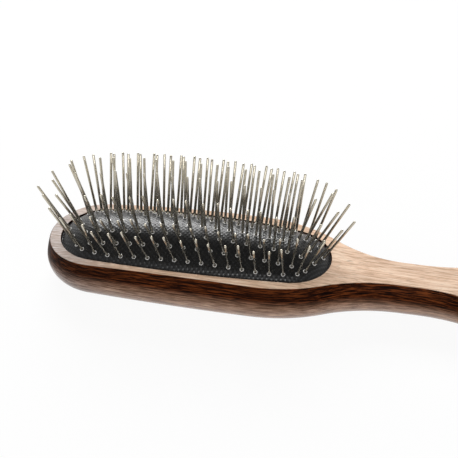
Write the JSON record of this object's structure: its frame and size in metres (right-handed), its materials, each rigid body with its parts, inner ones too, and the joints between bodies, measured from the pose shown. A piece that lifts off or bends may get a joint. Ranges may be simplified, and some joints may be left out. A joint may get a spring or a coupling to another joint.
{
  "type": "pin brush",
  "caption": "Long wooden pin brush for grooming pets: straight-pin steel bristles stand square to a domed rubber cushion set in an oval head with a slim handle.",
  "frame": {"origin": "on the flat back, under the middle of the cushion", "axes": "+X along the brush towards the end of the handle, +Y across it, +Z out of the back, along the pins of the crest row"},
  "size_m": [0.2415, 0.0616, 0.0563],
  "materials": {
    "stained_wood": "dark stained hardwood under a satin lacquer",
    "black_rubber": "matt black rubber with a fine cloth texture",
    "pin_steel": "polished steel"
  },
  "bodies": {
    "root": {"wooden_body": "stained_wood", "cushion": "black_rubber", "pins_row_1": "pin_steel", "pins_row_2": "pin_steel", "pins_row_3": "pin_steel", "pins_row_4": "pin_steel", "pins_row_5": "pin_steel", "pins_row_6": "pin_steel", "pins_row_7": "pin_steel"}
  },
  "joints": []
}
